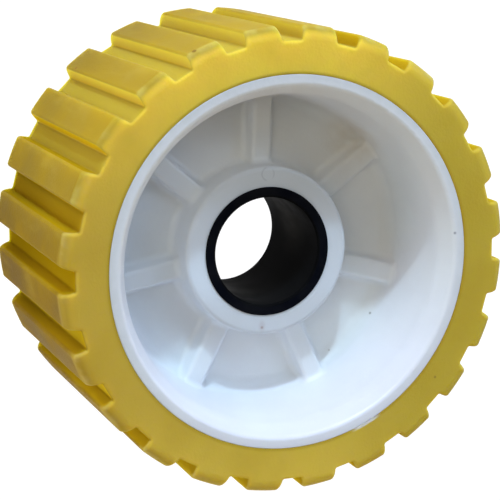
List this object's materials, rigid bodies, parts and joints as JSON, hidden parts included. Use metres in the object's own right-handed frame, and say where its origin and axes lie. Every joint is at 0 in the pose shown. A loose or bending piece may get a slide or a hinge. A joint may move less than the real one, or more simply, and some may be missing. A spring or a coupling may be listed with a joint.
{
  "type": "boat trailer roller",
  "caption": "Lugged yellow roller for a boat trailer: a soft tyre with straight cross grooves on a white hub with ribbed end recesses and a plain black bush for its spindle.",
  "frame": {"origin": "centre of the roller's footprint, on the plane of the end face that it stands on", "axes": "+Z along the roller's axis, from the end that it stands on to the end that faces the camera in the picture; +X along one of the hub's ribs"},
  "size_m": [0.12, 0.12, 0.07],
  "materials": {
    "tyre_yellow": "satin, slightly see-through amber yellow",
    "hub_white": "satin white moulding",
    "bush_black": "satin black"
  },
  "bodies": {
    "root": {"tyre": "tyre_yellow", "hub": "hub_white", "bush": "bush_black"}
  },
  "joints": []
}
